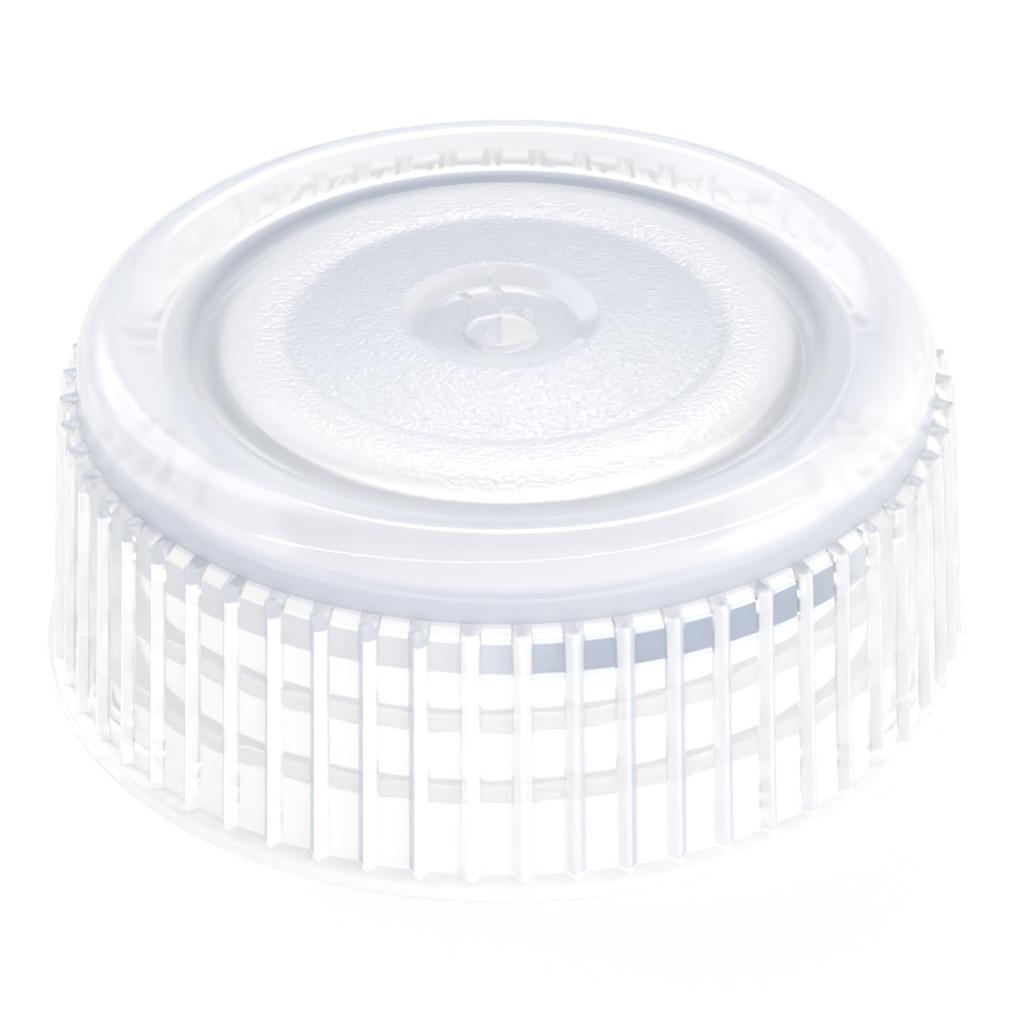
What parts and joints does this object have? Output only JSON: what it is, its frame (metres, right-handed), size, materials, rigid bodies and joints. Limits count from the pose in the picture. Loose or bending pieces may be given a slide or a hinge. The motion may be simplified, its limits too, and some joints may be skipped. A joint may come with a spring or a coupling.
{
  "type": "screw cap",
  "caption": "Low round screw cap of translucent natural plastic with a ribbed grip skirt, a stepped domed top with a gate well, and an internal thread.",
  "frame": {"origin": "centre of the open rim, on the surface that the cap stands on", "axes": "+Z along the cap's axis, from the open rim to the crown"},
  "size_m": [0.0488, 0.0488, 0.0199],
  "materials": {
    "natural_polypropylene": "moulded, satin gloss, milky translucent"
  },
  "bodies": {
    "root": {"screw_cap": "natural_polypropylene"}
  },
  "joints": []
}
